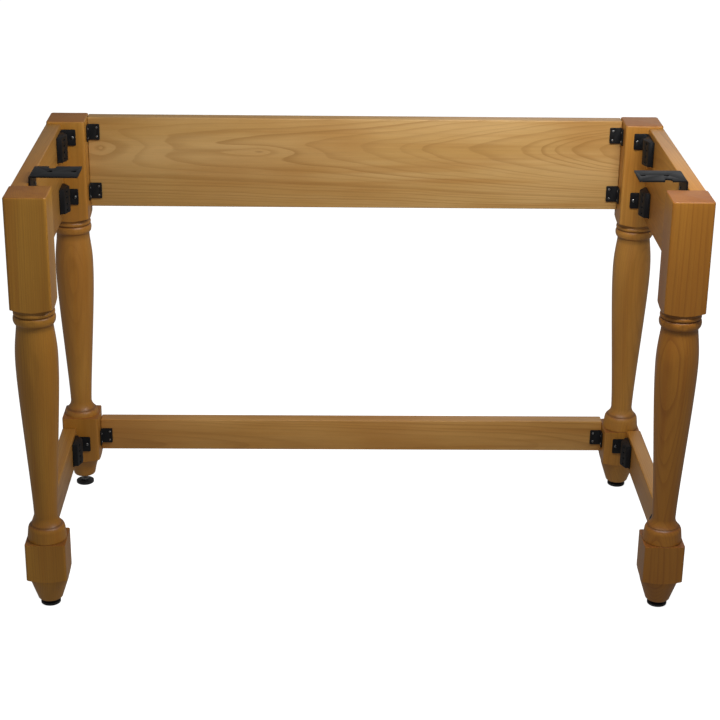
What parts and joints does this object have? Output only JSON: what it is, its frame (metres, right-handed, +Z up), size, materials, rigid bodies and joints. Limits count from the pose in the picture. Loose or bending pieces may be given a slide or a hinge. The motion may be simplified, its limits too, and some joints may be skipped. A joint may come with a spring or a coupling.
{
  "type": "loom stand",
  "caption": "Knock-down wooden stand for a table loom: turned legs, open front, steel corner angles and loom supports, screw-in levelling feet.",
  "frame": {"origin": "on the floor, under the middle of the stand", "axes": "+X along the rear apron to the right as seen from the open front, +Y to the rear, +Z up"},
  "size_m": [1.126, 0.546, 0.748],
  "materials": {
    "pine": "satin clear varnish over honey-coloured softwood",
    "black_steel": "satin black paint",
    "zinc": "bright zinc plate",
    "black_plastic": "moulded, fine matt"
  },
  "bodies": {
    "frame": {"leg_front_left": "pine", "leg_front_right": "pine", "leg_rear_left": "pine", "leg_rear_right": "pine", "apron_rear": "pine", "apron_left": "pine", "apron_right": "pine", "stretcher_rear": "pine", "stretcher_left": "pine", "stretcher_right": "pine", "support_left": "black_steel", "support_right": "black_steel", "angle_apron_left_front_upper": "black_steel", "angle_apron_left_front_lower": "black_steel", "angle_apron_left_rear_upper": "black_steel", "angle_apron_left_rear_lower": "black_steel", "angle_apron_right_front_upper": "black_steel", "angle_apron_right_front_lower": "black_steel", "angle_apron_right_rear_upper": "black_steel", "angle_apron_right_rear_lower": "black_steel", "angle_apron_rear_left_upper": "black_steel", "angle_apron_rear_left_lower": "black_steel", "angle_apron_rear_right_upper": "black_steel", "angle_apron_rear_right_lower": "black_steel", "angle_stretcher_left_front_mid": "black_steel", "angle_stretcher_left_rear_mid": "black_steel", "angle_stretcher_right_front_mid": "black_steel", "angle_stretcher_right_rear_mid": "black_steel", "angle_stretcher_rear_left_mid": "black_steel", "angle_stretcher_rear_right_mid": "black_steel", "bar_apron_left_front_upper": "black_steel", "bar_apron_left_front_lower": "black_steel", "bar_apron_left_rear_upper": "black_steel", "bar_apron_left_rear_lower": "black_steel", "bar_apron_right_front_upper": "black_steel", "bar_apron_right_front_lower": "black_steel", "bar_apron_right_rear_upper": "black_steel", "bar_apron_right_rear_lower": "black_steel", "bar_stretcher_left_front": "black_steel", "bar_stretcher_left_rear": "black_steel", "bar_stretcher_right_front": "black_steel", "bar_stretcher_right_rear": "black_steel", "insert_front_left": "zinc", "insert_front_right": "zinc", "insert_rear_left": "zinc", "insert_rear_right": "zinc"},
    "pad_front_left": {"pad_front_left": "black_plastic"},
    "pad_front_right": {"pad_front_right": "black_plastic"},
    "pad_rear_left": {"pad_rear_left": "black_plastic"},
    "pad_rear_right": {"pad_rear_right": "black_plastic"},
    "stud_front_left": {"stud_front_left": "zinc"},
    "stud_front_right": {"stud_front_right": "zinc"},
    "stud_rear_left": {"stud_rear_left": "zinc"},
    "stud_rear_right": {"stud_rear_right": "zinc"}
  },
  "joints": [
    {"name": "level_front_left", "type": "slide", "parent": "frame", "child": "pad_front_left", "axis": [0, 0, -1], "range_m": [0, 0.018]},
    {"name": "level_front_right", "type": "slide", "parent": "frame", "child": "pad_front_right", "axis": [0, 0, -1], "range_m": [0, 0.018]},
    {"name": "level_rear_left", "type": "slide", "parent": "frame", "child": "pad_rear_left", "axis": [0, 0, -1], "range_m": [-0.0095, 0.012]},
    {"name": "level_rear_right", "type": "slide", "parent": "frame", "child": "pad_rear_right", "axis": [0, 0, -1], "range_m": [0, 0.018]},
    {"name": "screw_front_left", "type": "hinge", "parent": "pad_front_left", "child": "stud_front_left", "pos_m": [-0.5285, -0.2385, 0.008], "axis": [0, 0, -1], "range_deg": [0, 5184]},
    {"name": "screw_front_right", "type": "hinge", "parent": "pad_front_right", "child": "stud_front_right", "pos_m": [0.5285, -0.2385, 0.008], "axis": [0, 0, -1], "range_deg": [0, 5184]},
    {"name": "screw_rear_left", "type": "hinge", "parent": "pad_rear_left", "child": "stud_rear_left", "pos_m": [-0.5285, 0.2385, 0.008], "axis": [0, 0, -1], "range_deg": [-2736, 3456]},
    {"name": "screw_rear_right", "type": "hinge", "parent": "pad_rear_right", "child": "stud_rear_right", "pos_m": [0.5285, 0.2385, 0.008], "axis": [0, 0, -1], "range_deg": [0, 5184]}
  ],
  "couplings": [
    {"joint": "screw_front_left", "follows": "level_front_left", "rad_per_m": 5026.5},
    {"joint": "screw_front_right", "follows": "level_front_right", "rad_per_m": 5026.5},
    {"joint": "screw_rear_left", "follows": "level_rear_left", "rad_per_m": 5026.5},
    {"joint": "screw_rear_right", "follows": "level_rear_right", "rad_per_m": 5026.5}
  ]
}
